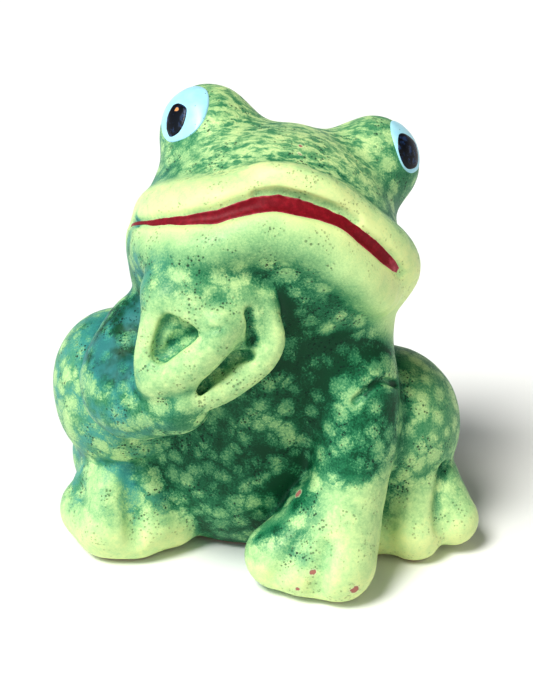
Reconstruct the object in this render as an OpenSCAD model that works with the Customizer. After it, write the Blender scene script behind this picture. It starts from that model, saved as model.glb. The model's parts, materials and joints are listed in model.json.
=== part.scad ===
// Seated thinking frog: a hollow earthenware figure with luted limbs and enamelled eyes and mouth.
// Millimetres. +Z is up, the face looks towards -Y, and the figure's own right side is at -X.

/* [Clay] */
// Wall of the hollow castings
wall = 4.5; // [3.5:0.5:6]
// Depth that a luted piece is scored into its neighbour
luting = 0.4; // [0.2:0.1:0.8]
// Thickness of the enamel on the eyes and mouth
enamel = 0.5; // [0.4:0.1:0.8]

/* [Trunk] */
// Width of the belly
trunk_width = 61; // [54:1:68]
// Depth of the belly, front to back
trunk_depth = 48; // [44:1:54]
// Height of the middle of the chest
chest_height = 42; // [38:1:46]
// Diameter of the opening from the chest into the head
neck_opening = 16; // [12:1:20]

/* [Base] */
// Thickness of the closing slab under the trunk
slab_thickness = 5; // [4:0.5:7]
// Diameter of the vent hole in the slab
vent_diameter = 10; // [8:0.5:14]

/* [Head] */
// Width of the head across the cheeks
head_width = 55; // [50:1:60]
// Length of the head, snout to nape
head_length = 46; // [42:1:50]
// Height from the mouth to the crown
crown_height = 25.5; // [23:0.5:28]
// Height from the mouth down to the chin
chin_drop = 17; // [14:0.5:20]
// How far the face is raised
head_pitch = 45; // [36:1:52]
// How far the head leans to the figure's left
head_roll = 12; // [8:0.5:16]
// How far the face turns to the figure's left
head_yaw = 3; // [0:1:8]

/* [Eyes] */
// Radius of the clay mound under each eye
eye_mound_r = 9.5; // [8:0.5:11]
// Height of the white of the eye
eye_white_height = 12; // [10:0.5:14]
// Height of the pupil
pupil_height = 6.8; // [5:0.2:8]

/* [Mouth] */
// Widest part of the painted mouth line
mouth_line = 3; // [2.4:0.2:3.6]

/* [Arms] */
// Radius of the raised arm at the elbow
elbow_r = 9.2; // [8:0.1:10]
// Radius of a raised finger
finger_r = 3; // [2.6:0.1:3.4]

/* [Hind legs] */
// Width of the figure across its knees
knee_span = 81; // [76:1:86]
// Radius of the knee
knee_r = 14.5; // [13:0.5:16]
// Radius of a hind toe
toe_r = 7; // [6:0.5:8]

/* [Hidden] */
RIGHT = -1;
LEFT = 1;
FIGURE = 200;

leaf_green = "#8fbf6a";
pond_green = "#3f7f66";
pale_green = "#cfe59a";
bisque = "#c9826a";
eye_blue = "#c4ecf4";
ink = "#14141c";
lip_red = "#9c1c2e";

// ---- shared shapes ----

module ellipsoid(centre, radii, fine = 32)
  translate(centre) scale(radii) sphere(1, $fn = fine);

module ball(joint, grow = 0, fine = 26)
  translate([joint[0], joint[1], joint[2]]) sphere(joint[3] + grow, $fn = fine);

// A run of rounded clay through joints of [x, y, z, radius].
module limb(joints, grow = 0)
  for (i = [1 : len(joints) - 1])
    hull() {
      ball(joints[i - 1], grow);
      ball(joints[i], grow);
    }

// Digits that spread from one joint.
module spread(from, tips, grow = 0)
  for (tip = tips)
    hull() {
      ball(from, grow);
      ball(tip, grow);
    }

// Everything between two heights above the table.
module layer(from, to = FIGURE)
  translate([-FIGURE / 2, -FIGURE / 2, from]) cube([FIGURE, FIGURE, to - from]);

// ---- trunk ----

belly = [-1.5, 8, 17.5];
chest = [0.5, 2, chest_height];

module trunk_form(inset = 0)
  hull() {
    ellipsoid(belly, [trunk_width / 2 - inset, trunk_depth / 2 - inset, 24 - inset], fine = 44);
    ellipsoid(chest, [23 - inset, 20 - inset, 17 - inset], fine = 44);
  }

module trunk_shell()
  color(pond_green)
    difference() {
      intersection() {
        trunk_form();
        layer(slab_thickness);
      }
      trunk_form(wall);
      translate(chest) cylinder(d = neck_opening, h = FIGURE, $fn = 48);
    }

module base_slab()
  color(bisque)
    difference() {
      intersection() {
        trunk_form();
        layer(0, slab_thickness);
      }
      translate([belly[0], belly[1], -1]) cylinder(d = vent_diameter, h = slab_thickness + 2, $fn = 48);
    }

// ---- head ----

head_at = [0, -2, 59.5];
head_turn = [-head_pitch, head_roll, head_yaw];

module in_head()
  translate(head_at) rotate(head_turn) children();

// The widest ring of the head, where the lips meet.
lips = [0, -2, 0];
lip_radii = [head_width / 2, head_length / 2 + 1, 8];

module head_form(inset = 0)
  in_head()
    hull() {
      ellipsoid([0, 0, crown_height - 17], lip_radii - [3 + inset, 2 + inset, inset - 9], fine = 44);
      ellipsoid(lips, lip_radii - [inset, inset, inset], fine = 44);
      ellipsoid([0, 1, 11 - chin_drop], lip_radii - [3 + inset, 4 + inset, inset - 3], fine = 44);
    }

module head_shell()
  color(leaf_green)
    difference() {
      head_form();
      head_form(wall);
      trunk_form(luting);
    }

// ---- eyes ----

function eye_centre(side) = [side * 16.2 + 1.6, -3, crown_height - 2.3];
// Each eye looks outwards and a little upwards: [turn from the face, lift].
function eye_look(side) = side == RIGHT ? [46, 5] : [37, 13];

module eye_mound_form(side, grow = 0)
  in_head() translate(eye_centre(side)) sphere(eye_mound_r + grow, $fn = 40);

module eye_mound(side)
  color(leaf_green)
    difference() {
      eye_mound_form(side);
      head_form(luting);
    }

// A disc cut from the skin of the eye mound, drop degrees under the way that the eye looks.
module eye_patch(side, height, slimness, outer, inner, drop = 0)
  intersection() {
    difference() {
      eye_mound_form(side, outer);
      eye_mound_form(side, inner);
    }
    in_head() translate(eye_centre(side)) rotate([90 - eye_look(side)[1] + drop, 0, side * eye_look(side)[0]])
      scale([slimness, 1, 1]) cylinder(d = height, h = FIGURE, $fn = 36);
  }

module eye_white(side)
  color(eye_blue) eye_patch(side, eye_white_height, 0.88, enamel, -luting);

module pupil(side)
  color(ink) eye_patch(side, pupil_height, 0.8, 2 * enamel, enamel - luting / 2, drop = 15);

// ---- mouth ----

// The mouth droops to both cheeks from a peak near the middle.
// Each mark is [angle round the lips, rise, share of the width].
mouth_marks = [
  [-82, 0.6, 0.25], [-61, -2.2, 0.35], [-43, -3, 0.45], [-29, -2.6, 0.6], [-14, -0.5, 1], [-4, 0.2, 0.95],
  [11, -0.1, 0.75], [20, -0.5, 0.7], [32, -2, 0.8], [44, -3.2, 0.8], [54, -3.8, 0.6]
];
function on_lips(mark) = [
  (lip_radii[0] - 0.8) * sin(mark[0]),
  lips[1] - (lip_radii[1] - 0.8) * cos(mark[0]),
  mark[1],
  mark[2] * mouth_line / 2
];

module mouth_band()
  color(lip_red)
    intersection() {
      difference() {
        head_form(-enamel);
        head_form(luting);
      }
      in_head() limb([for (mark = mouth_marks) on_lips(mark)], luting);
    }

// ---- arms ----

raised_arm_joints = [[-19, -4, 48, 8], [-25.4, -15, 39.5, elbow_r], [-16.5, -22.5, 41.2, 6.8]];
wrist = [-18, -25.5, 46, finger_r + 0.8];
thumb = [[-18.9, -22.5, 59.5, finger_r], [-21.2, -25, 51.5, finger_r - 0.4], wrist];
first_finger = [[-17.6, -23.5, 60.2, finger_r - 0.4], [-8.5, -27, 58, finger_r]];
middle_finger = [wrist, [-11, -28, 52.5, finger_r + 0.4], [-5.5, -26.4, 58, finger_r + 0.2]];
last_finger = [[-14, -26, 43.2, finger_r + 0.5], [-4.3, -26.2, 47.2, finger_r - 0.4],
  [1.6, -24.8, 54, finger_r - 0.8], [0, -22.4, 60, finger_r - 1]];
palm = [[-18, -19, 47, 4], [-4, -20.5, 47, 4], [-1, -20, 58, 3], [-17, -18, 60, 5], [-6, -19, 61, 5]];

planted_arm_joints = [[16, -4, 45, 8.3], [17.2, -12, 31, 8.6], [14, -18, 16, 7.6]];
planted_palm = [12.5, -18, 11, 8];
planted_fingers = [
  [2.4, -21.3, 6.4, 6.6], [7.5, -24.5, 6, 6.3], [13.8, -25.4, 6.3, 6.8], [16, -19.5, 6, 5.4]
];

module raised_arm()
  color(leaf_green)
    difference() {
      limb(raised_arm_joints);
      trunk_form(luting);
      head_form(luting);
    }

module raised_hand()
  color(pale_green)
    difference() {
      union() {
        for (finger = [thumb, first_finger, middle_finger, last_finger]) limb(finger);
        hull() for (joint = palm) ball(joint);
      }
      limb(raised_arm_joints, -luting);
      trunk_form(luting);
      head_form(luting);
    }

module planted_arm()
  color(leaf_green)
    difference() {
      limb(planted_arm_joints);
      trunk_form(luting);
      head_form(luting);
    }

module planted_hand()
  color(pale_green)
    intersection() {
      difference() {
        spread(planted_palm, planted_fingers);
        limb(planted_arm_joints, -luting);
        trunk_form(luting);
      }
      layer(0);
    }

// ---- hind legs ----

function knee(side) = [side * (knee_span / 2 - knee_r) - 2, 2, 26.5 - side * 3.5];
function ankle(side) = [side * 27, -2.5, 11, 10];
// The right foot is blunt and the left one ends in a point.
function toes(side) = side == RIGHT
  ? [
      [-20, -6.5, 6, toe_r - 0.5], [-26, -9.6, 5.5, toe_r - 0.5],
      [-31.2, -9.4, 6.2, toe_r], [-35, -5, 7, toe_r]
    ]
  : [
      [22, -9, 5.5, toe_r - 1], [29.5, -11, 5, toe_r - 1],
      [37, -8, 5.8, toe_r - 2], [35.5, -2, 7.5, toe_r - 1.5]
    ];

module hind_leg_form(side, inset = 0)
  hull() {
    ellipsoid(knee(side), [knee_r - inset, 16 - inset, 16 - inset]);
    ellipsoid([side * (knee_span / 2 - knee_r - 2) - 2, 9, 13], [knee_r - inset, 16 - inset, 13 - inset]);
  }

module hind_leg(side)
  color(pond_green)
    intersection() {
      difference() {
        hind_leg_form(side);
        trunk_form(luting);
        limb(side == RIGHT ? raised_arm_joints : planted_arm_joints, -luting);
      }
      layer(0);
    }

module hind_foot(side)
  color(pale_green)
    intersection() {
      difference() {
        spread(ankle(side), toes(side));
        hind_leg_form(side, luting);
        trunk_form(luting);
        if (side == LEFT) limb(planted_arm_joints, -luting);
        if (side == LEFT) spread(planted_palm, planted_fingers, -luting);
      }
      layer(0);
    }

trunk_shell();
base_slab();
head_shell();
raised_arm();
raised_hand();
planted_arm();
planted_hand();
hind_leg(RIGHT);  // right_hind_leg
hind_leg(LEFT);  // left_hind_leg
hind_foot(RIGHT);  // right_hind_foot
hind_foot(LEFT);  // left_hind_foot
eye_mound(RIGHT);  // right_eye_mound
eye_mound(LEFT);  // left_eye_mound
eye_white(RIGHT);  // right_eye_white
eye_white(LEFT);  // left_eye_white
pupil(RIGHT);  // right_pupil
pupil(LEFT);  // left_pupil
mouth_band();  // mouth_line
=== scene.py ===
"""Seated thinking frog: sponge-glazed earthenware, with enamelled eyes and mouth.

The clay is modelled as one block of distances on a fine grid, so limbs, fingers and toes run into each
other as luted clay does. The finished skin is then parted along its joints into the pieces of the design.
Lengths are in millimetres until a mesh is made, and angles are in degrees.
"""

import json
import math

import bpy
import numpy as np
import openvdb
from mathutils import Euler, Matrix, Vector


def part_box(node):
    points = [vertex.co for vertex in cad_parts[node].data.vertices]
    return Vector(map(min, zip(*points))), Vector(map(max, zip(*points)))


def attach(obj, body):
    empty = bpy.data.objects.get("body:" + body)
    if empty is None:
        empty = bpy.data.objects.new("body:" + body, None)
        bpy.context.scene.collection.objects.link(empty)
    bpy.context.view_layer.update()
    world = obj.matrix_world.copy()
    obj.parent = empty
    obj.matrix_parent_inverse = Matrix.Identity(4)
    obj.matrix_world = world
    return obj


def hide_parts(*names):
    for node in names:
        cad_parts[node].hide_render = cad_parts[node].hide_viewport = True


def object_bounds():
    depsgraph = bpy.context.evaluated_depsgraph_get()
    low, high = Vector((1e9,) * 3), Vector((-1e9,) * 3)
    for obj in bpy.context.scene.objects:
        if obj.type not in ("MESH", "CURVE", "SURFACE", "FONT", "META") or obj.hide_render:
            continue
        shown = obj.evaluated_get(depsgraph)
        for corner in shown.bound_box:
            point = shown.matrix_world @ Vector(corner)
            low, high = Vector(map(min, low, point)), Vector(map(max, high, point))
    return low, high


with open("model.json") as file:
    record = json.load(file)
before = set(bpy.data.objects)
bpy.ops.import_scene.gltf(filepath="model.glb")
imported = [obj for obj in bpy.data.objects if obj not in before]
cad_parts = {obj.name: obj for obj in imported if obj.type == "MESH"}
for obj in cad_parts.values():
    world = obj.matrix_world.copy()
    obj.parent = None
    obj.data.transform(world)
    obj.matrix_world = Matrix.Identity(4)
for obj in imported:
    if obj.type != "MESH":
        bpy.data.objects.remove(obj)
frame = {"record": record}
cad_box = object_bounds()

MM = 0.001
# Spacing of the grid, and the distance that stands for empty air.
GRID = 0.4
EMPTY = 30.0
# How far round a shape the grid is worked out: for its distances, and for the part that owns each point.
MARGIN = 3
PART_REACH = 4
CARVING_MARGIN = 2
# Random heights swing this far at their knots, so that the smoothed hills reach from about -1 to 1.
KNOT_SWING = 1.6

# ---- the block of clay ----


def smooth_curve(joints, steps):
    """A curve through joints of any width, with steps points from one joint to the next."""
    joints = np.asarray(joints, float)
    ends = np.vstack((2 * joints[0] - joints[1], joints, 2 * joints[-1] - joints[-2]))
    run = []
    for before, start, end, after in zip(ends, ends[1:], ends[2:], ends[3:]):
        for t in np.arange(steps) / steps:
            run.append(
                0.5
                * (
                    2 * start
                    + (end - before) * t
                    + (2 * before - 5 * start + 4 * end - after) * t * t
                    + (3 * start - before - 3 * end + after) * t ** 3
                )
            )
    return np.array(run + [joints[-1]])


class Stand:
    """A modelling stand: where it is, in mm, and how it is turned, in degrees."""

    def __init__(self, origin=(0, 0, 0), turn=(0, 0, 0)):
        self.origin = np.array(origin, float)
        self.axes = np.array(Euler([math.radians(a) for a in turn]).to_matrix())

    def out(self, points):
        """Points on the stand as points on the table."""
        return self.origin + np.asarray(points, float) @ self.axes.T

    def into(self, x, y, z):
        """Points on the table as points on the stand."""
        x, y, z = x - self.origin[0], y - self.origin[1], z - self.origin[2]
        if np.allclose(self.axes, np.eye(3)):
            return x, y, z
        return tuple(a[0] * x + a[1] * y + a[2] * z for a in self.axes.T)


TABLE = Stand()


class Lump:
    """An egg of clay."""

    def __init__(self, stand, centre, radii, lean=(0, 0, 0)):
        self.own = Stand(stand.out(centre))
        self.own.axes = stand.axes @ Stand(turn=lean).axes
        self.radii = np.array(radii, float)
        self.low = self.own.origin - self.radii.max()
        self.high = self.own.origin + self.radii.max()

    def distance(self, x, y, z):
        local = self.own.into(x, y, z)
        reach = np.sqrt(sum((a / r) ** 2 for a, r in zip(local, self.radii)))
        slope = np.sqrt(sum((a / r ** 2) ** 2 for a, r in zip(local, self.radii)))
        return reach * (reach - 1) / np.maximum(slope, 1e-4)


class Coil:
    """A rolled coil of clay through joints of (x, y, z, radius)."""

    def __init__(self, stand, joints, steps=5):
        run = smooth_curve(joints, steps)
        self.points, self.radii = stand.out(run[:, :3]), run[:, 3]
        self.low = (self.points - self.radii[:, None]).min(0)
        self.high = (self.points + self.radii[:, None]).max(0)

    def distance(self, x, y, z):
        nearest = None
        for a, b, r, s in zip(self.points, self.points[1:], self.radii, self.radii[1:]):
            run = b - a
            px, py, pz = x - a[0], y - a[1], z - a[2]
            t = np.clip((px * run[0] + py * run[1] + pz * run[2]) / max(run @ run, 1e-9), 0, 1)
            d = np.sqrt((px - t * run[0]) ** 2 + (py - t * run[1]) ** 2 + (pz - t * run[2]) ** 2)
            d -= r + t * (s - r)
            nearest = d if nearest is None else np.minimum(nearest, d)
        return nearest


def soft_min(a, b, fillet):
    """The nearer of two distances, eased over a fillet where they are alike."""
    mix = np.clip(0.5 + 0.5 * (b - a) / fillet, 0, 1)
    return b + (a - b) * mix - fillet * mix * (1 - mix)


def soft_max(a, b, fillet):
    """The further of two distances, eased over a fillet where they are alike."""
    return -soft_min(-a, -b, fillet)


class Clay:
    """Distances to the skin of the clay on a grid, and the part that each point belongs to."""

    def __init__(self, low, high):
        self.low = np.floor(low) - MARGIN
        self.count = np.ceil((np.ceil(high) + MARGIN - self.low) / GRID).astype(int)
        self.skin = np.full(self.count, EMPTY, np.float32)
        self.near = np.full(self.count, EMPTY, np.float32)
        self.part = np.zeros(self.count, np.int8)
        self.parts = []

    def window(self, shape, margin):
        """The stretch of the grid round a shape, and the distances to the shape there."""
        first = np.clip(((shape.low - margin - self.low) / GRID).astype(int), 0, self.count - 1)
        last = np.clip(((shape.high + margin - self.low) / GRID).astype(int) + 2, 1, self.count)
        lines = [
            (self.low[i] + GRID * np.arange(first[i], last[i])).astype(np.float32)
            for i in range(3)
        ]
        x, y, z = lines[0][:, None, None], lines[1][None, :, None], lines[2][None, None, :]
        where = tuple(slice(a, b) for a, b in zip(first, last))
        return where, shape.distance(x, y, z).astype(np.float32)

    def add(self, part, shape, fillet):
        """Presses a shape on, with a fillet of slip round it."""
        if part not in self.parts:
            self.parts.append(part)
        where, d = self.window(shape, max(fillet, PART_REACH) + MARGIN)
        self.skin[where] = soft_min(self.skin[where], d, fillet)
        closer = d < self.near[where]
        self.near[where] = np.where(closer, d, self.near[where])
        self.part[where] = np.where(closer, self.parts.index(part), self.part[where])

    def carve(self, shape, fillet):
        """Scrapes a shape out, with a soft edge."""
        where, d = self.window(shape, fillet + CARVING_MARGIN)
        self.skin[where] = soft_max(self.skin[where], -d, fillet)

    def sample(self, field, points):
        """A grid's values at points in mm, straight between its marks."""
        place = np.clip((points - self.low) / GRID, 0, self.count - 1.001)
        base = place.astype(int)
        part = (place - base).astype(np.float32)
        total = 0
        for corner in np.ndindex(2, 2, 2):
            weight = np.prod(np.where(corner, part, 1 - part), axis=1)
            total = total + weight * field[tuple((base + corner).T)]
        return total

    def facing(self, points, reach=0.6):
        """The outward direction of the skin at points."""
        steps = np.eye(3) * reach
        slope = np.stack(
            [self.sample(self.skin, points + s) - self.sample(self.skin, points - s) for s in steps],
            axis=1,
        )
        return slope / np.maximum(np.linalg.norm(slope, axis=1, keepdims=True), 1e-6)

    def settle(self, points, lift=0.0, rounds=6, stride=0.9):
        """Moves points along the skin's slope, by most of what is left each round, to lift mm above it."""
        points = np.array(points, float)
        for _ in range(rounds):
            gap = self.sample(self.skin, points) - lift
            points -= (gap * stride)[:, None] * self.facing(points)
        return points

    def unevenness(self, spacing, seed):
        """Smooth random heights from -1 to 1, with hills about spacing mm apart."""
        weights = []
        for count in self.count:
            place = np.arange(count) * GRID / spacing
            t = np.abs(place[:, None] + 1 - np.arange(int(place[-1]) + 4)[None])
            near, far = 2 / 3 - t ** 2 + t ** 3 / 2, np.clip(2 - t, 0, None) ** 3 / 6
            weights.append(np.where(t < 1, near, far).astype(np.float32))
        rough = np.random.default_rng(seed).uniform(-KNOT_SWING, KNOT_SWING, [w.shape[1] for w in weights])
        rough = rough.astype(np.float32)
        for w in weights:
            rough = np.moveaxis(np.tensordot(w, rough, (1, 0)), 0, -1)
        return rough

    def blurred(self, field, width):
        """A field averaged over a cube of width mm."""
        half = max(int(width / GRID / 2), 1)
        for axis in range(3):
            before = np.repeat(field.take([0], axis), half + 1, axis)
            after = np.repeat(field.take([-1], axis), half, axis)
            run = np.concatenate((before, field, after), axis).cumsum(axis, dtype=np.float64)
            marks = np.arange(field.shape[axis])
            total = run.take(marks + 2 * half + 1, axis) - run.take(marks, axis)
            field = (total / (2 * half + 1)).astype(np.float32)
        return field


clay = Clay(np.array(cad_box[0]) / MM, np.array(cad_box[1]) / MM)

# ---- trunk ----

belly = Lump(TABLE, centre=(-1.5, 8, 17.5), radii=(30, 23.5, 23.5))
chest = Lump(TABLE, centre=(0.5, 2, 42), radii=(22.5, 19.5, 17))
clay.add("trunk_shell", belly, fillet=1)
clay.add("trunk_shell", chest, fillet=14)

# ---- head ----

HEAD = Stand(origin=(0, -2, 59.5), turn=(-45, 12, 3))
# The lips meet on an oval round the head. Angles go from the figure's right cheek to its left one.
LIP_RADII = np.array((26.6, 23.2))
LIPS_Y = -2
# The mouth droops to both sides of a peak near the middle.
LIP_ANGLES = (-87, -61, -43, -29, -21, -14, -6, 1, 11, 20, 30, 44, 56, 90)
LIP_RISES = (1.0, -2.2, -3.2, -2.9, -1.5, -0.4, 0.4, 0.3, 0.1, -0.4, -1.7, -3.0, -3.6, -2.0)
# Share of a lip roll's radius that is lost at its ends.
END_TAPER = 0.45

skull = Lump(HEAD, centre=(0, 0, 8), radii=(24.2, 21.5, 17))
crown = Lump(HEAD, centre=(3.4, 1, 12), radii=(14, 15, 15.9))
lip_ring = Lump(HEAD, centre=(0, LIPS_Y, 0), radii=(*LIP_RADII, 8))
chin = Lump(HEAD, centre=(0, 0.5, -6), radii=(24.2, 19.8, 11))
left_cheek = Lump(HEAD, centre=(17.4, -7, -0.5), radii=(9.5, 10, 5.5))
for lump, fillet in ((skull, 4), (crown, 7), (lip_ring, 7), (chin, 7), (left_cheek, 5)):
    clay.add("head_shell", lump, fillet)


def lip_path(start, end, above=0.0, count=41):
    """Points round the lips between two angles, above mm over the line where they meet."""
    angle = np.linspace(start, end, count)
    rise = np.interp(angle, LIP_ANGLES, LIP_RISES) + above
    turn = np.radians(angle)
    return np.stack((LIP_RADII[0] * np.sin(turn), LIPS_Y - LIP_RADII[1] * np.cos(turn), rise), axis=1)


def lip_roll(start, end, above, radius, proud):
    """A soft roll of clay along the mouth, standing proud of the face."""
    path = lip_path(start, end, above, count=21)
    inward = np.array((0, LIPS_Y, above)) - path
    inward[:, 2] = 0
    inward /= np.linalg.norm(inward, axis=1, keepdims=True)
    taper = 1 - END_TAPER * np.abs(np.linspace(-1, 1, len(path))) ** 4
    return Coil(HEAD, np.column_stack((path + inward * (radius - proud), radius * taper)), steps=1)


upper_lip = lip_roll(-84, 78, above=4.2, radius=4.4, proud=1.0)
lower_lip = lip_roll(-84, 66, above=-4.6, radius=4.4, proud=0.6)
lip_peak = Lump(HEAD, centre=(1, -22.6, 4.6), radii=(9, 5.4, 3.2), lean=(-12, 8, 0))
clay.add("head_shell", upper_lip, fillet=3.5)
clay.add("head_shell", lower_lip, fillet=3.5)
clay.add("head_shell", lip_peak, fillet=2.5)

# ---- eye mounds ----

EYE_R = 9.3
EYE_PLACES = {"right": (-14.6, -3, 23.2), "left": (17.8, -3, 23.2)}
for name, place in EYE_PLACES.items():
    clay.add(name + "_eye_mound", Lump(HEAD, place, (EYE_R, EYE_R, EYE_R)), fillet=6)

# ---- hind legs and feet ----

SIDES = {"right": -1, "left": 1}
for name, side in SIDES.items():
    part = name + "_hind_leg"
    knee = (side * 26.3 - 1.7, 2, 26.5 - side * 3.5)
    haunch = (side * 24 - 2, 9, 13)
    clay.add(part, Lump(TABLE, haunch, radii=(14.2, 15.6, 12.8)), fillet=2.5)
    clay.add(part, Lump(TABLE, knee, radii=(14.2, 15.4, 15.6)), fillet=3)
    clay.add(part, Coil(TABLE, [(*haunch, 11), (*knee, 12)], steps=4), fillet=4)
knee_top = Lump(TABLE, centre=(-29.2, 1, 35.2), radii=(12.2, 13, 12))
clay.add("right_hind_leg", knee_top, fillet=3)

# The right foot is blunt and the left one ends in a point. A raised instep runs down the middle of each.
TOES = {
    "right": [(-20, -6.5, 6, 6.5), (-26, -9.6, 5.4, 6.5), (-31.2, -9.4, 6.2, 7.2), (-35, -5, 7, 6.8)],
    "left": [(22, -9, 5.5, 6), (29.5, -11, 4.8, 5.6), (37.5, -8, 5.9, 5), (35.5, -2, 7.5, 5.5)],
}
INSTEPS = {
    "right": [(-31.9, -3, 18, 3.4), (-31.4, -9.5, 14, 3.6), (-31.3, -12, 8, 4.4)],
    "left": [(30.6, -4.5, 16, 3), (30, -10.2, 12, 3.2), (29, -12.5, 7, 3.8)],
}
SECOND_RIDGES = {
    "left": [(35.5, -4.5, 14, 3), (38, -7.5, 7.5, 3.6)],
    "right": [(-22.5, -8, 13, 3.4), (-22.5, -10.5, 7, 4)],
}
for name, side in SIDES.items():
    ankle = (side * 27, -2, 12, 9.8)
    for toe in TOES[name]:
        clay.add(name + "_hind_foot", Coil(TABLE, [ankle, toe], steps=1), fillet=2.5)
for name, instep in INSTEPS.items():
    clay.add(name + "_hind_foot", Coil(TABLE, instep, steps=3), fillet=2.5)
for name, ridge in SECOND_RIDGES.items():
    clay.add(name + "_hind_foot", Coil(TABLE, ridge, steps=1), fillet=2.5)

# ---- arms ----

RAISED_ARM = [(-17, -3, 50, 8), (-23, -8, 46, 8.6), (-25.6, -15, 39.5, 9.2), (-16.5, -22.5, 41.2, 6.8)]
PLANTED_ARM = [
    (15.5, -4, 46, 8.2), (17, -9, 38, 8.4), (17, -13, 29, 8.5), (16, -16, 22, 7.6), (14, -19, 14, 7.6),
]
clay.add("raised_arm", Coil(TABLE, RAISED_ARM), fillet=1.8)
clay.add("planted_arm", Coil(TABLE, PLANTED_ARM), fillet=3)

PLANTED_PALM = (12.5, -18, 12, 8)
PLANTED_TIPS = ((2.4, -21.3, 6.4, 6.7), (7.5, -24.3, 6, 6.3), (13.6, -25.2, 6.3, 7), (16, -19.5, 6, 5.4))
for tip in PLANTED_TIPS:
    clay.add("planted_hand", Coil(TABLE, [PLANTED_PALM, tip], steps=1), fillet=2.5)
knuckle = Coil(TABLE, [(16, -20, 18, 4.5), (15, -25, 9.5, 5)], steps=1)
clay.add("planted_hand", knuckle, fillet=4)

# ---- raised hand ----

PALM = (
    ((-10.2, -19.4, 54.2), (12, 6.4, 11.2)),
    ((-11.8, -20, 61.3), (10.6, 6.4, 5.8)),
    ((-4.6, -21.6, 57), (5.6, 4.8, 6.4)),
    ((-4.2, -22.2, 51.4), (5.6, 4, 4.6)),
)
for centre, radii in PALM:
    clay.add("raised_hand", Lump(TABLE, centre, radii), fillet=3.5)

thumb = [(-18.8, -22.5, 60, 3.1), (-20, -24.3, 55.3, 2.8), (-21.2, -25, 50.5, 2.5), (-20, -25.3, 46.5, 3.2)]
first_finger = [
    (-17.6, -23.5, 60.6, 2.6), (-13.5, -25.3, 59.8, 2.6), (-10.5, -26.4, 58.8, 2.6), (-8.4, -26.8, 58.1, 3.1),
]
middle_finger = [
    (-19, -25.8, 47, 4), (-15, -26.8, 49, 3.9), (-11, -27.4, 52.5, 3.5), (-7.8, -27, 56, 3.1),
    (-5.8, -25.6, 58, 3),
]
last_finger = [
    (-14, -26, 43.2, 3.6), (-8.5, -26.4, 44.6, 2.8), (-4.3, -26, 47.2, 2.6), (-0.5, -25.4, 50.3, 2.5),
    (1.4, -24.6, 54, 2.1), (0.8, -23.6, 57.5, 1.8), (0, -22.4, 60.5, 1.7),
]
FINGERS = [Coil(TABLE, finger, steps=4) for finger in (thumb, first_finger, middle_finger, last_finger)]
for finger in FINGERS:
    clay.add("raised_hand", finger, fillet=1.8)

# Handled clay is never even: spacing and height of the broad dents, the finger marks and the fine drag.
for spacing, height, seed in ((9, 0.22, 3), (3, 0.11, 4), (1.5, 0.035, 5)):
    clay.skin += height * clay.unevenness(spacing, seed)

# ---- tooled lines ----


def tool(path, radius, depth, soft=0.8):
    """Draws a round tool through the skin along a path. A radius or depth may change along it."""
    radius, depth = (np.broadcast_to(np.asarray(a, float), len(path)) for a in (radius, depth))
    settled = clay.settle(path) + (radius - depth)[:, None] * clay.facing(clay.settle(path))
    clay.carve(Coil(TABLE, np.column_stack((settled, radius)), steps=3), soft)


MOUTH_START, MOUTH_END = -86, 58
mouth_angles = np.linspace(MOUTH_START, MOUTH_END, 41)
mouth_radius = np.interp(mouth_angles, (-86, -50, -20, 0, 20, 45, 58), (0.8, 1.1, 2.1, 2.1, 1.6, 1.6, 0.9))
tool(HEAD.out(lip_path(MOUTH_START, MOUTH_END)), mouth_radius, depth=mouth_radius * 0.7)

lip_fold = HEAD.out(lip_path(-14, 26, above=2.1, count=21))
tool(lip_fold, radius=1.3, depth=0.8, soft=0.7)

thumb_gap = [(-17.2, -27, 58.2), (-12.8, -27, 56.2), (-14.8, -27, 53), (-19, -27, 51.6), (-17.6, -27, 57.6)]
tool(thumb_gap, radius=1.5, depth=1.1, soft=0.6)

finger_gap = [
    (-11.8, -28, 45.2, 0.9), (-9.2, -27.4, 48.4, 1.5), (-6.2, -26.8, 50.9, 1.5), (-3, -26.6, 51.6, 1),
]
clay.carve(Coil(TABLE, finger_gap), fillet=0.6)

tip_notch = [(-2.3, -27, 60), (-2.3, -27, 54)]
tool(tip_notch, radius=1.2, depth=1.2, soft=0.6)

nail_crease = [(-10.5, -31, 58.3), (-7.5, -31, 58.7)]
tool(nail_crease, radius=0.7, depth=0.35, soft=0.5)

shoulder_crease = [(16.5, -18, 38), (19, -18, 40.3), (22.5, -16, 41.4), (26, -12, 38.5)]
tool(shoulder_crease, radius=0.8, depth=0.9, soft=0.5)

outer_groove = [(11, -30, 13.5), (10.2, -31, 8.5), (9.2, -31, 3.5)]
tool(outer_groove, radius=1.6, depth=0.8, soft=1.6)

inner_groove = [(5.5, -28, 15), (3.4, -29, 9), (1.5, -28, 5)]
tool(inner_groove, radius=1.6, depth=0.35, soft=1.6)

right_foot_crease = [(-26.8, -8, 16), (-26, -14, 11), (-25.6, -17, 6)]
tool(right_foot_crease, radius=1.8, depth=(0.9, 0.9, 0.4), soft=1.8)

left_foot_crease = [(33.2, -6, 17), (33.8, -12, 12), (34, -14, 8)]
tool(left_foot_crease, radius=1.4, depth=(0.9, 0.9, 0.3), soft=1.4)

# ---- seat on the table ----

SEAT_EDGE = 1.5
z = (clay.low[2] + GRID * np.arange(clay.count[2]))[None, None, :].astype(np.float32)
clay.skin = soft_max(clay.skin, -z, SEAT_EDGE)

# ---- skin of the clay ----

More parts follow.
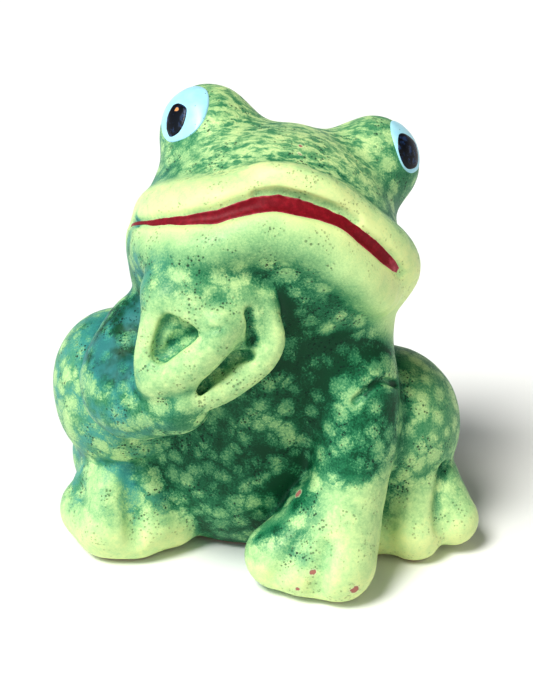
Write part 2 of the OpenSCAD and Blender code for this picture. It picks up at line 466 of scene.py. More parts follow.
volume = openvdb.FloatGrid(EMPTY)
volume.copyFromArray(clay.skin)
skin_points, skin_quads = volume.convertToQuads(isovalue=0.0)
skin_points = clay.low + GRID * skin_points.astype(float)
skin_quads = skin_quads.astype(int)
skin_facing = clay.facing(skin_points)
corner = skin_points[skin_quads]
across = np.cross(corner[:, 2] - corner[:, 0], corner[:, 3] - corner[:, 1])
if (across * skin_facing[skin_quads[:, 0]]).sum() < 0:
    skin_quads = skin_quads[:, ::-1]

# ---- how thickly the glaze was sponged, with painted shade and skylight, and where it is worn ----


def rise_between(value, low, high):
    """A smooth rise from 0 at low to 1 at high."""
    t = np.clip((value - low) / (high - low), 0, 1)
    return t * t * (3 - 2 * t)


# How dense the dark glaze was dabbed on each part, from bare pale slip at 0 to a closed coat at 1.
SPONGED = {
    "trunk_shell": 0.76, "head_shell": 0.55, "right_eye_mound": 0.58, "left_eye_mound": 0.58,
    "raised_arm": 0.6, "raised_hand": 0.42, "planted_arm": 0.72, "planted_hand": 0.44,
    "right_hind_leg": 0.48, "left_hind_leg": 0.46, "right_hind_foot": 0.54, "left_hind_foot": 0.4,
}
by_part = np.array([SPONGED[part] for part in clay.parts], np.float32)
sponged_field = clay.blurred(by_part[clay.part], width=3.5)
bend_field = clay.blurred(np.clip(clay.skin, -3, 3), width=3)
broad_field = clay.blurred(np.clip(clay.skin, -6, 6), width=8)
patchy_field = clay.unevenness(spacing=11, seed=8)
# Knocks down to the red clay, and dabs of thick glaze: each a place and a radius.
CHIPS = [
    (5.9, -19, 18.8, 0.75), (8.7, -30, 8.1, 0.6), (16, -30, 5.4, 0.85), (6, -29, 4.6, 0.5),
    (7.3, -6, 87.6, 0.35), (7, -8, 86.9, 0.2),
]
BLOTS = [
    (-24, -10, 70.5, 1.2), (-24.3, -9.5, 70.8, 0.9), (-24.6, -8.5, 67.5, 2.2), (-24.6, -8, 64, 2.5),
    (-3.8, -12, 86.5, 0.8), (17.3, -8, 84.4, 0.7), (-9.1, -20, 71.5, 0.8),
    (0.7, -24, 14.8, 1.6), (4.5, -22, 18, 1.5), (-1, -23, 11, 1.5),
]
BLOT_DEPTH = 0.35
# Stands for no chip anywhere near.
NO_CHIP = 9.0
# Bends of the skin, in mm, that make a full hollow, a full ridge and a full broad hollow.
HOLLOW, RIDGE, BROAD_HOLLOW = 0.45, 0.35, 0.8
# Glaze gathers in hollows, and their darkening is also painted shade in creases and between limbs. It draws
# back from ridges and varies in patches. Brushing takes most of it off.
POOLED_AND_SHADED, BROADLY_POOLED_AND_SHADED, DRAWN_BACK, PATCHINESS, BRUSHED_OFF = 0.32, 0.16, 0.14, 0.06, 0.87
# The throat is darker than the rest of the head, as painted shade under the jaw, and the brow is lighter.
THROAT_SHADE, BROW_LESS = 0.34, 0.2
mouth_paint = Coil(HEAD, np.column_stack((lip_path(-87, 88), np.zeros(41))), steps=1)
insteps = [Coil(TABLE, instep, steps=3) for instep in INSTEPS.values()]


def crest_of(coils, x, y, z, width):
    """1 on the skin of the nearest coil, falling to 0 at width mm from it."""
    return np.clip(1 - np.min([coil.distance(x, y, z) for coil in coils], axis=0) / width, 0, 1)


def from_places(points, places):
    """For each place on the skin, how far the points are from it, and its radius."""
    return [
        (np.linalg.norm(points - clay.settle(np.array([place])), axis=1), radius)
        for *place, radius in places
    ]


def paint(points, facing):
    """What the glaze does at points of the skin: how thick, with painted shade, how blue with painted
    skylight, and how streaked, smooth and near a chip.
    """
    x, y, z = points.T
    hx, hy, hz = HEAD.into(x, y, z)
    bend = clay.sample(bend_field, points)
    hollow = np.clip(-bend / HOLLOW, 0, 1)
    ridge = np.clip(bend / RIDGE, 0, 1)
    broad_hollow = np.clip(-clay.sample(broad_field, points) / BROAD_HOLLOW, 0, 1)
    dark = clay.sample(sponged_field, points)
    patchy = clay.sample(patchy_field, points)

    # The lips were brushed pale: a band above the mouth and the front of the jaw below it.
    to_mouth = mouth_paint.distance(x, y, z)
    side = np.degrees(np.arctan2(hx / LIP_RADII[0], -(hy - LIPS_Y) / LIP_RADII[1]))
    height = hz - np.interp(side, (-87, -43, -6, 56, 90), (1, -3.2, 0.3, -3.9, -2))
    band_above = np.interp(side, (-90, -50, -15, 10, 60), (6, 9, 9, 6.5, 5))
    band_below = np.interp(side, (-90, -40, 0, 50), (4.5, 7, 8, 8.5))
    reach = np.where(height > 0, band_above, band_below)
    lips = 1 - rise_between(to_mouth + 1.2 * patchy, reach - 2, reach + 4)
    lips *= rise_between(-hy, -9, -3)
    # Painted shade: the throat under the jaw is darkened.
    painted_throat_shade = rise_between(-height, 9.5, 13) * rise_between(z, 42, 47) * (1 - lips)
    dark += THROAT_SHADE * painted_throat_shade * rise_between(dark, 0.44, 0.52)
    brow = rise_between(height, 4, 9) * rise_between(hz, 0, 6) * rise_between(18 - np.abs(hx), -2, 4)
    dark -= BROW_LESS * brow

    # Toes and the planted hand are pale towards the table and the front.
    low = 1 - rise_between(z - 2.5 * patchy, 5, 15)
    front = rise_between(-facing[:, 1], -0.3, 0.4)
    outer = rise_between(np.abs(x), 16, 24)
    toes = low * np.maximum(front, outer) * rise_between(-y, -2, 6) * rise_between(np.abs(x), 12, 17)
    wrist = (1 - rise_between(z, 21, 26)) * rise_between(x, 5, 13) * rise_between(-y, 12, 18) * (x < 25)
    fingertips = (1 - rise_between(z - patchy, 5, 12)) * rise_between(-y, 20, 25) * (np.abs(x - 9) < 16)
    finger_crests = crest_of(FINGERS, x, y, z, width=1.2)
    finger_crests *= rise_between(-y, 23.5, 26) * rise_between(z, 41, 43.5)
    instep_crests = crest_of(insteps, x, y, z, width=2.5)

    # The jaw was wiped smooth. Its pale band darkens towards the throat as painted shade, where the jaw faces
    # down.
    jaw_painted_shade = np.interp(side, (-75, -60, -30, 10, 35), (0.75, 0.55, 0.6, 0.55, 0.15))
    lips *= 1 - jaw_painted_shade * rise_between(-height, 1.5, 7)
    brushed = rise_between(-height, 0, 2) * (1 - rise_between(-height, 9, 13))
    brushed *= rise_between(lips, 0.02, 0.25)

    finger_crests *= 0.42 + 0.3 * patchy
    pale = [lips, 0.6 * instep_crests, toes, 0.85 * wrist, 0.9 * fingertips, finger_crests]
    pale = np.max(pale, axis=0)
    dark *= 1 - BRUSHED_OFF * pale
    # Pooled glaze and painted shade: hollows, and the broad hollows between limbs, are darkened.
    dark += POOLED_AND_SHADED * hollow + BROADLY_POOLED_AND_SHADED * broad_hollow * (1 - pale)
    dark += PATCHINESS * patchy - DRAWN_BACK * ridge
    for gap, radius in from_places(points, BLOTS):
        dark += BLOT_DEPTH * np.exp(-((gap / radius) ** 2))
    chip = np.min([gap - radius for gap, radius in from_places(points, CHIPS)], axis=0)
    # Painted light: the figure's right side, and the planted fingertips towards it, take a tint of bluish
    # skylight.
    painted_skylight = rise_between(-x + 5 * patchy, 14, 28) + (1 - lips) * rise_between(12 - x, 0, 6) * fingertips
    return {
        "sponged_and_shade": np.clip(dark, 0, 1.3), "painted_skylight": painted_skylight, "streak": brow, "brushed": brushed,
        "chip": np.clip(chip, -3, NO_CHIP),
    }


skin_paint = paint(skin_points, skin_facing)

# ---- glazes ----

# Settings of nodes that are used many times. A mix of colours takes its share at input 0 and the colours
# at 6 and 7, and a mix of values takes the values at 2 and 3.
COLOURS = {"data_type": "RGBA", "out": 2}
SMOOTH = {"interpolation_type": "SMOOTHSTEP"}


def linear(hex_colour):
    """An sRGB hex colour as linear RGBA."""
    parts = [int(hex_colour[i : i + 2], 16) / 255 for i in (1, 3, 5)]
    return [c / 12.92 if c <= 0.04045 else ((c + 0.055) / 1.055) ** 2.4 for c in parts] + [1.0]


def node(tree, kind, links, out=0, stops=(), **settings):
    """Adds a node and gives back one of its outputs.

    links gives each input a value or another node's output, settings are the node's own options,
    and stops are the places and colours of a ramp.
    """
    made = tree.nodes.new("ShaderNode" + kind)
    for name, value in settings.items():
        setattr(made, name, value)
    for name, value in links.items():
        if isinstance(value, bpy.types.NodeSocket):
            tree.links.new(value, made.inputs[name])
        else:
            made.inputs[name].default_value = value
    if stops:
        elements = made.color_ramp.elements
        while len(elements) < len(stops):
            elements.new(0.5)
        for element, (place, colour) in zip(elements, stops):
            element.position, element.color = place, linear(colour)
    return made.outputs[out]


def new_finish(name):
    """A new material, its nodes, and places on the figure in mm."""
    material = bpy.data.materials.new(name)
    material.use_nodes = True
    tree = material.node_tree
    tree.nodes.remove(tree.nodes["Principled BSDF"])
    place = node(tree, "TexCoord", {}, out="Object")
    place = node(tree, "VectorMath", {0: place, "Scale": 1 / MM}, operation="SCALE")
    return material, tree, place


def fire(tree, colour, roughness, relief=None, coat=0.0):
    """The finished surface: its colour, its roughness, its relief in mm and how glassy its coat is."""
    links = {
        "Base Color": colour, "Roughness": roughness, "Specular IOR Level": 0.22,
        "Coat Weight": coat, "Coat Roughness": 0.22,
    }
    if relief is not None:
        links["Normal"] = node(tree, "Bump", {"Height": relief, "Distance": MM})
    surface = node(tree, "BsdfPrincipled", links)
    tree.links.new(surface, tree.nodes["Material Output"].inputs[0])


def sponged_glaze():
    """Pale yellow-green slip dabbed with dark teal glaze: blobs of slip in a net of glaze, fired satin, with
    painted shade and a painted tint of bluish skylight.
    """
    material, tree, place = new_finish("sponged_glaze")
    sponged_and_shade, painted_skylight, streak, brushed, chip = (
        node(tree, "Attribute", {}, out="Fac", attribute_name=name)
        for name in ("sponged_and_shade", "painted_skylight", "streak", "brushed", "chip")
    )
    # Sizes of what the sponge and the kiln leave, in mm.
    swirl_size, grain_size, clump_size = 3.333, 0.4167, 6.25
    dab_size, fleck_size, mottle_size = 3.226, 1.25, 1.818
    pinhole_size, cluster_size, speck_size, flake_size = 0.625, 5, 1.667, 0.625

    swirl = node(tree, "TexNoise", {"Vector": place, "Scale": 1 / swirl_size}, out="Color")
    swirl = node(tree, "VectorMath", {0: swirl, 1: (0.5, 0.5, 0.5)}, operation="SUBTRACT")
    swirl = node(tree, "VectorMath", {0: swirl, "Scale": 2.6}, operation="SCALE")
    stirred = node(tree, "VectorMath", {0: place, 1: swirl}, operation="ADD")
    grain = {"Vector": place, "Scale": 1 / grain_size, "Detail": 5, "Roughness": 0.8}
    grain = node(tree, "Math", {0: node(tree, "TexNoise", grain), 1: 0.5}, operation="SUBTRACT")
    clump = {"Vector": place, "Scale": 1 / clump_size, "Detail": 3, "Roughness": 0.6}
    clump = node(tree, "Math", {0: node(tree, "TexNoise", clump), 1: 0.5}, operation="SUBTRACT")

    # Open blobs, each of its own size, with a grainy edge.
    dab = node(tree, "TexVoronoi", {"Vector": stirred, "Scale": 1 / dab_size})
    own_size = node(tree, "SeparateColor", {0: dab.node.outputs["Color"]})
    own_size = node(tree, "Math", {0: own_size, 1: 0.34}, operation="MULTIPLY")
    edge = node(tree, "Math", {0: grain, 1: 0.8, 2: own_size}, operation="MULTIPLY_ADD")
    edge = node(tree, "Math", {0: dab, 1: edge}, operation="ADD")
    blob = node(tree, "MapRange", {"Value": edge, "From Min": 0.94, "From Max": 0.34}, **SMOOTH)
    net = node(tree, "Math", {0: blob, 1: -0.56, 2: 0.22}, operation="MULTIPLY_ADD")

    # On the brow the glaze was dragged sideways, which leaves short pale flecks.
    dragged = {"Vector": stirred, "Rotation": (0.8, -0.21, 0), "Scale": (0.42, 0.9, 0.9)}
    dragged = node(tree, "Mapping", dragged)
    fleck = {"Vector": dragged, "Scale": 1 / fleck_size, "Detail": 4, "Roughness": 0.65}
    fleck = {"Value": node(tree, "TexNoise", fleck), "From Min": 0.38, "From Max": 0.62}
    fleck = node(tree, "MapRange", fleck, **SMOOTH)
    flecks = node(tree, "Math", {0: fleck, 1: -0.84, 2: 0.44}, operation="MULTIPLY_ADD")

    # Where the glaze is thin the net breaks up into a mottle, and the brushed jaw shows hardly any of it.
    mottle = {"Vector": stirred, "Scale": 1 / mottle_size, "Detail": 3, "Roughness": 0.6}
    mottle = {0: node(tree, "TexNoise", mottle), 1: 1.3, 2: -0.6}
    mottle = node(tree, "Math", mottle, operation="MULTIPLY_ADD")
    netted = node(tree, "MapRange", {"Value": sponged_and_shade, "From Min": 0.22, "From Max": 0.46}, **SMOOTH)
    pattern = node(tree, "Mix", {0: netted, 2: mottle, 3: net})
    left_by_brush = node(tree, "Math", {0: brushed, 1: -0.85, 2: 1}, operation="MULTIPLY_ADD")
    pattern = node(tree, "Math", {0: pattern, 1: left_by_brush}, operation="MULTIPLY")
    pattern = node(tree, "Mix", {0: streak, 2: pattern, 3: flecks})

    spread = node(tree, "Math", {0: sponged_and_shade, 1: 0.8, 2: 0.2}, operation="MULTIPLY_ADD")
    uneven = node(tree, "Math", {0: grain, 1: 1.25, 2: pattern}, operation="MULTIPLY_ADD")
    uneven = node(tree, "Math", {0: clump, 1: 0.9, 2: uneven}, operation="MULTIPLY_ADD")
    depth = node(tree, "Math", {0: uneven, 1: spread, 2: sponged_and_shade}, operation="MULTIPLY_ADD")
    by_depth = [
        (0.0, "#DEEBA4"), (0.15, "#C2DF9C"), (0.34, "#96C287"),
        (0.56, "#529266"), (0.78, "#21704C"), (1.0, "#0A472C"),
    ]
    glaze = node(tree, "ValToRGB", {"Fac": depth}, stops=by_depth)

    # Painted light: the figure's right side, where the bluish skylight falls, is tinted blue in patches.
    deep = node(tree, "MapRange", {"Value": depth, "From Min": 0.25, "From Max": 0.7}, **SMOOTH)
    in_clumps = node(tree, "MapRange", {"Value": clump, "From Min": -0.12, "From Max": 0.1}, **SMOOTH)
    skylight_tint = node(tree, "Math", {0: painted_skylight, 1: deep}, operation="MULTIPLY")
    skylight_tint = node(tree, "Math", {0: skylight_tint, 1: in_clumps}, operation="MULTIPLY")
    skylight_tint = node(tree, "Math", {0: skylight_tint, 1: 0.4}, operation="MULTIPLY")
    glaze = node(tree, "Mix", {0: skylight_tint, 6: glaze, 7: linear("#57AEB4")}, **COLOURS)

    # Pinholes 0.25 mm wide in loose clusters, and single dark specks.
    hole = node(tree, "TexVoronoi", {"Vector": place, "Scale": 1 / pinhole_size})
    own_size = node(tree, "SeparateColor", {0: hole.node.outputs["Color"]}, out=1)
    edge = node(tree, "Math", {0: own_size, 1: 0.3, 2: hole}, operation="MULTIPLY_ADD")
    hole = node(tree, "MapRange", {"Value": edge, "From Min": 0.46, "From Max": 0.3}, **SMOOTH)
    cluster = node(tree, "TexNoise", {"Vector": place, "Scale": 1 / cluster_size, "Detail": 3})
    cluster = node(tree, "MapRange", {"Value": cluster, "From Min": 0.47, "From Max": 0.6}, **SMOOTH)
    pinhole = node(tree, "Math", {0: hole, 1: cluster}, operation="MULTIPLY")
    speck = node(tree, "TexVoronoi", {"Vector": place, "Scale": 1 / speck_size})
    speck = node(tree, "MapRange", {"Value": speck, "From Min": 0.09, "From Max": 0.05}, **SMOOTH)
    speck = node(tree, "Math", {0: speck, 1: 0.5}, operation="MULTIPLY")
    pits = node(tree, "Math", {0: pinhole, 1: speck}, operation="MAXIMUM")
    in_glaze = {"Value": sponged_and_shade, "From Min": 0.05, "From Max": 0.5, "To Min": 0.3, "To Max": 0.85}
    in_glaze = node(tree, "MapRange", in_glaze, **SMOOTH)
    pits = node(tree, "Math", {0: pits, 1: in_glaze}, operation="MULTIPLY")
    glaze = node(tree, "Mix", {0: pits, 6: glaze, 7: linear("#0F3328")}, **COLOURS)

    # Knocks through the glaze down to the red clay, each with a pale broken rim.
    ragged = node(tree, "TexNoise", {"Vector": place, "Scale": 1 / flake_size, "Detail": 3})
    ragged = node(tree, "Math", {0: ragged, 1: 0.9, 2: chip}, operation="MULTIPLY_ADD")
    knock = node(tree, "MapRange", {"Value": ragged, "From Min": 0.5, "From Max": 0.38}, **SMOOTH)
    rim = node(tree, "MapRange", {"Value": ragged, "From Min": 0.8, "From Max": 0.55}, **SMOOTH)
    rim = node(tree, "Math", {0: rim, 1: 0.6}, operation="MULTIPLY")
    glaze = node(tree, "Mix", {0: rim, 6: glaze, 7: linear("#DDE3B8")}, **COLOURS)
    colour = node(tree, "Mix", {0: knock, 6: glaze, 7: linear("#B0766A")}, **COLOURS)

    relief = node(tree, "Math", {0: pinhole, 1: -0.12}, operation="MULTIPLY")
    relief = node(tree, "Math", {0: grain, 1: 0.05, 2: relief}, operation="MULTIPLY_ADD")
    relief = node(tree, "Math", {0: knock, 1: -0.15, 2: relief}, operation="MULTIPLY_ADD")
    rough = node(tree, "Math", {0: grain, 1: 0.25, 2: 0.46}, operation="MULTIPLY_ADD")
    rough = {0: knock, 1: 0.4, 2: rough}
    rough = node(tree, "Math", rough, operation="MULTIPLY_ADD", use_clamp=True)
    fire(tree, colour, rough, relief, coat=0.04)
    return material


def bare_bisque():
    """Unglazed red earthenware, matt and slightly sandy: the foot of the figure and its inside."""
    material, tree, place = new_finish("bare_bisque")
    sand_size, cloud_size = 0.4, 6.667
    sand = {"Vector": place, "Scale": 1 / sand_size, "Detail": 4, "Roughness": 0.7}
    sand = node(tree, "TexNoise", sand)
    cloud = node(tree, "TexNoise", {"Vector": place, "Scale": 1 / cloud_size, "Detail": 3})
    colour = node(tree, "Mix", {0: cloud, 6: linear("#B8735A"), 7: linear("#CC8E72")}, **COLOURS)
    dark_sand = node(tree, "MapRange", {"Value": sand, "From Min": 0.6, "From Max": 0.75}, **SMOOTH)
    colour = node(tree, "Mix", {0: dark_sand, 6: colour, 7: linear("#8F5440")}, **COLOURS)
    relief = node(tree, "Math", {0: sand, 1: 0.08}, operation="MULTIPLY")
    fire(tree, colour, 0.85, relief)
    return material


def eye_enamel():
    """Brushed pale blue enamel, glossier than the glaze, with a few specks of dust fired into it."""
    material, tree, place = new_finish("eye_enamel")
    cloud_size, speck_size = 2, 1.4286
    cloud = node(tree, "TexNoise", {"Vector": place, "Scale": 1 / cloud_size, "Detail": 3})
    speck = node(tree, "TexVoronoi", {"Vector": place, "Scale": 1 / speck_size})
    speck = node(tree, "MapRange", {"Value": speck, "From Min": 0.11, "From Max": 0.07}, **SMOOTH)
    speck = node(tree, "Math", {0: speck, 1: 0.7}, operation="MULTIPLY")
    colour = node(tree, "Mix", {0: cloud, 6: linear("#93D3E8"), 7: linear("#BCE8F4")}, **COLOURS)
    colour = node(tree, "Mix", {0: speck, 6: colour, 7: linear("#4A6A78")}, **COLOURS)
    relief = node(tree, "Math", {0: cloud, 1: 0.05}, operation="MULTIPLY")
    fire(tree, colour, 0.32, relief, coat=0.15)
    return material


def ink_enamel():
    """Near-black enamel, thin enough in places to show navy, with one knock down to the clay."""
    material, tree, place = new_finish("ink_enamel")
    thin_size, flake_size = 1.333, 0.625
    thin = {"Vector": place, "Scale": 1 / thin_size, "Detail": 4, "Roughness": 0.65}
    thin = {"Value": node(tree, "TexNoise", thin), "From Min": 0.5, "From Max": 0.68}
    thin = node(tree, "MapRange", thin, **SMOOTH)
    ragged = node(tree, "TexNoise", {"Vector": place, "Scale": 1 / flake_size, "Detail": 3})
    chip = node(tree, "Attribute", {}, out="Fac", attribute_name="chip")
    ragged = node(tree, "Math", {0: ragged, 1: 0.9, 2: chip}, operation="MULTIPLY_ADD")
    knock = node(tree, "MapRange", {"Value": ragged, "From Min": 0.5, "From Max": 0.4}, **SMOOTH)
    navy = node(tree, "Math", {0: thin, 1: 0.7}, operation="MULTIPLY")
    colour = node(tree, "Mix", {0: navy, 6: linear("#0B0E16"), 7: linear("#2B4A78")}, **COLOURS)
    colour = node(tree, "Mix", {0: knock, 6: colour, 7: linear("#D79A62")}, **COLOURS)
    relief = node(tree, "Math", {0: thin, 1: -0.05}, operation="MULTIPLY")
    fire(tree, colour, 0.35, relief, coat=0.12)
    return material


def lip_enamel():
    """Deep red enamel drawn on with a loaded brush: cloudy, and pinker where it thins out at the edge."""
    material, tree, place = new_finish("lip_enamel")
    cloud_size = 1.111
    cloud = {"Vector": place, "Scale": 1 / cloud_size, "Detail": 4, "Roughness": 0.7}
    cloud = node(tree, "TexNoise", cloud)
    edge = node(tree, "Attribute", {}, out="Fac", attribute_name="edge")
    edge = node(tree, "Math", {0: cloud, 1: 0.3, 2: edge}, operation="MULTIPLY_ADD")
    edge = node(tree, "MapRange", {"Value": edge, "From Min": 1.02, "From Max": 1.2}, **SMOOTH)
    edge = node(tree, "Math", {0: edge, 1: 0.7}, operation="MULTIPLY")
    bright = node(tree, "MapRange", {"Value": cloud, "From Min": 0.4, "From Max": 0.75}, **SMOOTH)
    colour = node(tree, "Mix", {0: bright, 6: linear("#74091B"), 7: linear("#921528")}, **COLOURS)
    colour = node(tree, "Mix", {0: edge, 6: colour, 7: linear("#D46A7C")}, **COLOURS)
    relief = node(tree, "Math", {0: cloud, 1: 0.1}, operation="MULTIPLY")
    fire(tree, colour, 0.5, relief)
    return material


def table_paint():
    """Plain pale matt paint on the table top."""
    material, tree, _ = new_finish("table_paint")
    fire(tree, linear("#F4F4F2"), 0.9)
    return material


GLAZE, BISQUE, EYE, INK, LIP = sponged_glaze(), bare_bisque(), eye_enamel(), ink_enamel(), lip_enamel()

# ---- pieces ----

# Depth of each wall of clay. A limb opens into the trunk.
WALLS = {"trunk_shell": 3.5, "head_shell": 3.5, "base_slab": 4.5}
LIMB_WALL = 1.5
# The glaze was wiped off what stands on the kiln shelf: skin this low that faces down this much is bare.
BARE_HEIGHT, BARE_FACING = 0.35, -0.8


def make_piece(name, points, faces, replaced, materials, values, corner_normals=None, bare=None):
    """A mesh from mm points, with its painted values, standing for a designed part."""
    mesh = bpy.data.meshes.new(name)
    mesh.from_pydata(points * MM, [], faces.tolist())
    mesh.update()
    mesh.shade_smooth()
    for key, numbers in values.items():
        mesh.attributes.new(key, "FLOAT", "POINT").data.foreach_set("value", numbers.astype(np.float32))
    for material in materials:
        mesh.materials.append(material)
    if bare is not None:
        mesh.polygons.foreach_set("material_index", bare.astype(np.int32))
    if corner_normals is not None:
        mesh.normals_split_custom_set(corner_normals.tolist())
    piece = bpy.data.objects.new(name, mesh)
    bpy.context.collection.objects.link(piece)
    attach(piece, "root")
    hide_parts(replaced)
    return piece


def wall_of_clay(name, quads, thickness, replaced):
    """Turns a stretch of the skin into a closed wall of clay, thickness mm deep."""
    used, quads = np.unique(quads, return_inverse=True)
    quads = quads.reshape(-1, 4)
    count = len(used)
    outer, facing = skin_points[used], skin_facing[used]
    edges = np.concatenate([quads[:, [i, (i + 1) % 4]] for i in range(4)])
    order = edges.min(1) * count + edges.max(1)
    first, times = np.unique(order, return_index=True, return_counts=True)[1:]
    rim = edges[first[times == 1]]
    faces = np.vstack((quads, quads[:, ::-1] + count, np.column_stack((rim[:, ::-1], rim + count))))
    points = np.vstack((outer, outer - thickness * facing))
    corner = points[faces]
    flat = np.cross(corner[:, 2] - corner[:, 0], corner[:, 3] - corner[:, 1])
    flat /= np.maximum(np.linalg.norm(flat, axis=1, keepdims=True), 1e-9)
    normals = np.repeat(flat[:, None], 4, axis=1)
    normals[: len(quads)] = facing[quads]
    normals[len(quads) : 2 * len(quads)] = -facing[quads[:, ::-1]]
    bare = np.ones(len(faces), bool)
    face_height, face_up = corner[: len(quads), :, 2].mean(1), facing[quads].mean(1)[:, 2]
    bare[: len(quads)] = (face_height < BARE_HEIGHT) & (face_up < BARE_FACING)
    values = {key: np.tile(numbers[used], 2) for key, numbers in skin_paint.items()}
    return make_piece(name, points, faces, replaced, [GLAZE, BISQUE], values, normals.reshape(-1, 3), bare)


middles = skin_points[skin_quads].mean(1)
cell = np.clip(np.rint((middles - clay.low) / GRID).astype(int), 0, clay.count - 1)
quad_part = clay.part[tuple(cell.T)]
slab_top = np.array(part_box("base_slab")[1])[2] / MM
in_slab = middles[:, 2] < slab_top
clay.parts.append("base_slab")
quad_part[(quad_part == clay.parts.index("trunk_shell")) & in_slab] = clay.parts.index("base_slab")
vent = next(m for m in frame["record"]["mounts"] if m["name"] == "vent_hole")
vent_at, vent_r = np.array(vent["pos_m"]) / MM, vent["dims"]["r_mm"]
open_vent = (np.linalg.norm(middles[:, :2] - vent_at[:2], axis=1) < vent_r) & in_slab
for index, part in enumerate(clay.parts):
    quads = skin_quads[(quad_part == index) & ~open_vent]
    piece = wall_of_clay(part.replace("_shell", "") + "_clay", quads, WALLS.get(part, LIMB_WALL), part)

# ---- enamels ----

# Enamel starts this far under the clay's skin and its edge stands this far over that.
SUNK = 0.12
EDGE_RISE = 0.14
# A brushed disc is never quite an oval: it wobbles this many times in a turn, each from a random start.
WOBBLES = (2, 3, 5)
WHOLE_TURN = 6.3


def enamel(name, rows, thickness, material, replaced, chip=None):
    """A dab of enamel on the clay, from rows of points near it, thickest in the middle."""
    rows = np.asarray(rows, float)
    m, n = rows.shape[:2]
    u, v = np.meshgrid(np.linspace(-1, 1, m), np.linspace(-1, 1, n), indexing="ij")
    edge = np.maximum(np.abs(u), np.abs(v)).ravel()
    base = clay.settle(rows.reshape(-1, 3), -SUNK)
    facing = clay.facing(base)
    swell = thickness * np.sqrt(np.clip(1 - edge ** 6, 0, 1))
    points = np.vstack((base + (EDGE_RISE + swell)[:, None] * facing, base))
    grid = np.arange(m * n).reshape(m, n)
    top = np.stack((grid[:-1, :-1], grid[1:, :-1], grid[1:, 1:], grid[:-1, 1:]), axis=-1).reshape(-1, 4)
    ring = np.concatenate((grid[:, 0], grid[-1, 1:], grid[-2::-1, -1], grid[0, -2:0:-1]))
    after = np.roll(ring, -1)
    skirt = np.column_stack((after, ring, ring + m * n, after + m * n))
    corner = points[top]
    across = np.cross(corner[:, 2] - corner[:, 0], corner[:, 3] - corner[:, 1])
    faces = np.vstack((top, top[:, ::-1] + m * n, skirt))
    if (across * facing[top[:, 0]]).sum() < 0:
        faces = faces[:, ::-1]
    chip = np.full(m * n, NO_CHIP) if chip is None else chip
    values = {"edge": np.tile(edge, 2), "chip": np.tile(chip, 2)}
    piece = make_piece(name, points, faces, replaced, [material], values)


def disc(centre, look, half_angles, lean, wobble, seed, count=37):
    """Rows of points for an oval seen along look (azimuth, elevation) from the middle of an eye mound."""
    azimuth, elevation = np.radians(look)
    level = np.cos(elevation)
    out = np.array((np.sin(azimuth) * level, -np.cos(azimuth) * level, np.sin(elevation)))
    right = np.cross((0, 0, -1), out)
    right /= np.linalg.norm(right)
    above = np.cross(right, -out)
    u, v = np.meshgrid(np.linspace(-1, 1, count), np.linspace(-1, 1, count), indexing="ij")
    a, b = u * np.sqrt(1 - v * v / 2), v * np.sqrt(1 - u * u / 2)
    turn = np.arctan2(b, a)
    random = np.random.default_rng(seed)
    for lobes in WOBBLES:
        swing = 1 + wobble / lobes * np.cos(lobes * turn + random.uniform(0, WHOLE_TURN))
        a, b = a * swing, b * swing
    spin = math.radians(lean)
    a, b = a * math.tan(math.radians(half_angles[0])), b * math.tan(math.radians(half_angles[1]))
    a, b = a * math.cos(spin) - b * math.sin(spin), a * math.sin(spin) + b * math.cos(spin)
    rays = out + a[..., None] * right + b[..., None] * above
    rays /= np.linalg.norm(rays, axis=-1, keepdims=True)
    return HEAD.out(np.array(centre) + (EYE_R + 1) * rays)


# The white and the pupil of each eye: where it looks, its half angles and how it leans.
EYES = {
    "right": (((-45, 3), (37, 39), -4), ((-49, -10), (15.5, 20), -22)),
    "left": (((38, 14), (28, 37), 10), ((36, 1.5), (20, 22), 8)),
}
WHITE_THICKNESS, PUPIL_THICKNESS = 0.3, 0.5
# The knock in the right pupil: its row and place in the disc, and its radius.
KNOCK_AT, KNOCK_R = (20, 9), 0.45
for name, (white, pupil) in EYES.items():
    rows = disc(EYE_PLACES[name], *white, wobble=0.05, seed=1)
    enamel(name + "_eye_white_enamel", rows, WHITE_THICKNESS, EYE, name + "_eye_white")
    rows = disc(EYE_PLACES[name], *pupil, wobble=0.08, seed=2)
    knock = None
    if name == "right":
        to_knock = clay.settle(rows.reshape(-1, 3)) - clay.settle(rows[KNOCK_AT][None])
        knock = np.linalg.norm(to_knock, axis=1) - KNOCK_R
    enamel(name + "_pupil_enamel", rows, PUPIL_THICKNESS, INK, name + "_pupil", knock)

# The brush was pressed hardest at the peak of the mouth, and lifted off at the corners.
STROKE_AT = (-87, -75, -61, -43, -29, -21, -14, -6, 1, 11, 20, 30, 44, 52, 56)
STROKE_WIDTH = (0.4, 0.6, 0.9, 1.3, 1.9, 2.5, 3.0, 3.1, 2.9, 2.5, 2.5, 2.8, 2.6, 2.2, 1.2)
STROKE_ROWS, STROKE_THICKNESS = 181, 0.22
# The hand trembles a little, and the bristles even it out over a few rows.
TREMBLE, TREMBLES, EVENED_OVER = 0.16, 200, 4
turns = np.linspace(STROKE_AT[0], STROKE_AT[-1], STROKE_ROWS)
random = np.random.default_rng(11)
tremble = np.convolve(random.normal(0, TREMBLE, TREMBLES), np.ones(EVENED_OVER) / EVENED_OVER, "same")
width = np.interp(turns, STROKE_AT, STROKE_WIDTH) + tremble[:STROKE_ROWS]
across = np.linspace(-0.5, 0.5, 13)
upward = np.array((0, 0, 1))
rows = lip_path(STROKE_AT[0], STROKE_AT[-1], 0, STROKE_ROWS)[:, None, :]
rows = rows + width[:, None, None] * across[None, :, None] * upward
enamel("mouth_enamel", HEAD.out(rows), STROKE_THICKNESS, LIP, "mouth_line")

# ---- floor, light and camera ----

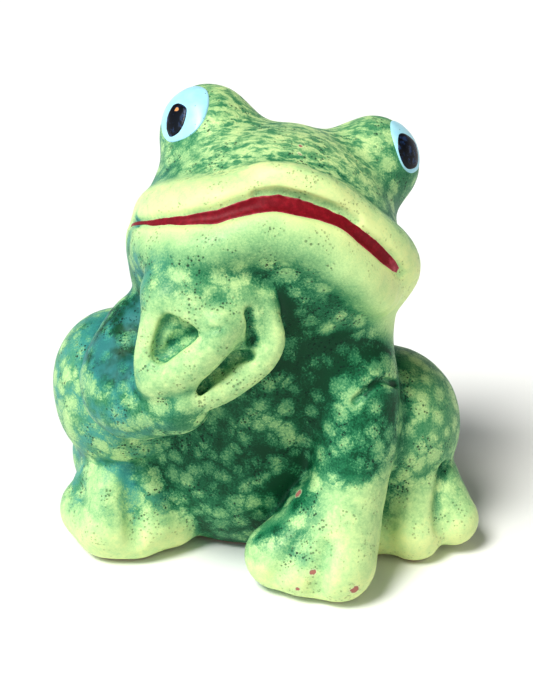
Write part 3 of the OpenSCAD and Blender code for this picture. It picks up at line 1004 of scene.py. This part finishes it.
# The table top reaches far enough, in metres, to have no edge in view, and lies just clear of the clay.
FLOOR_REACH = 30.0
FLOOR_GAP = 0.0003
floor_mesh = bpy.data.meshes.new("table_top")
corners = [(x * FLOOR_REACH, y * FLOOR_REACH, 0) for x, y in ((-1, -1), (1, -1), (1, 1), (-1, 1))]
floor_mesh.from_pydata(corners, [], [(0, 1, 2, 3)])
floor = bpy.data.objects.new("table_top", floor_mesh)
bpy.context.collection.objects.link(floor)
floor.location.z = -FLOOR_GAP
floor_mesh.materials.append(table_paint())

MIDDLE = Vector((0, 0, 0.045))


def light(name, place, power, colour, width):
    """A far, soft light: width is how wide it looks from the table, in degrees."""
    data = bpy.data.lights.new(name, "SUN")
    data.energy, data.color, data.angle = power, linear(colour)[:3], math.radians(width)
    lamp = bpy.data.objects.new(name, data)
    lamp.location = place
    lamp.rotation_euler = (MIDDLE - Vector(place)).to_track_quat("-Z", "Y").to_euler()
    bpy.context.collection.objects.link(lamp)


light("window_light", (-0.42, -0.42, 0.95), power=3.0, colour="#FFFEFA", width=22)
light("left_fill", (-0.6, -0.3, 0.3), power=0.75, colour="#CBE7FF", width=60)
light("right_fill", (0.5, -0.5, 0.4), power=0.36, colour="#FFF6E4", width=60)

# Pale studio walls: brighter at table height than overhead.
world = bpy.data.worlds.new("studio")
world.use_nodes = True
tree = world.node_tree
direction = node(tree, "TexCoord", {}, out="Generated")
height = node(tree, "SeparateXYZ", {0: direction}, out="Z")
walls = {"Value": height, "From Min": 0.2, "From Max": 0.42, "To Min": 0.5, "To Max": 0.1}
walls = node(tree, "MapRange", walls, **SMOOTH)
background = tree.nodes["Background"]
background.inputs["Color"].default_value = linear("#FBFCFF")
tree.links.new(walls, background.inputs["Strength"])
bpy.context.scene.world = world
bpy.context.scene.view_settings.view_transform = "Standard"
bpy.context.scene.view_settings.look = "Medium High Contrast"

LENS, CAMERA_DISTANCE, CAMERA_TILT, CLIP_START = 80.8, 0.3, 25, 0.01
camera_data = bpy.data.cameras.new("camera")
camera_data.lens, camera_data.clip_start = LENS, CLIP_START
camera = bpy.data.objects.new("camera", camera_data)
tilt = math.radians(CAMERA_TILT)
aim = Vector((0, 0, 0.042))
camera.location = aim + CAMERA_DISTANCE * Vector((0, -math.cos(tilt), math.sin(tilt)))
camera.rotation_euler = (aim - camera.location).to_track_quat("-Z", "Y").to_euler()
bpy.context.collection.objects.link(camera)
bpy.context.scene.camera = camera
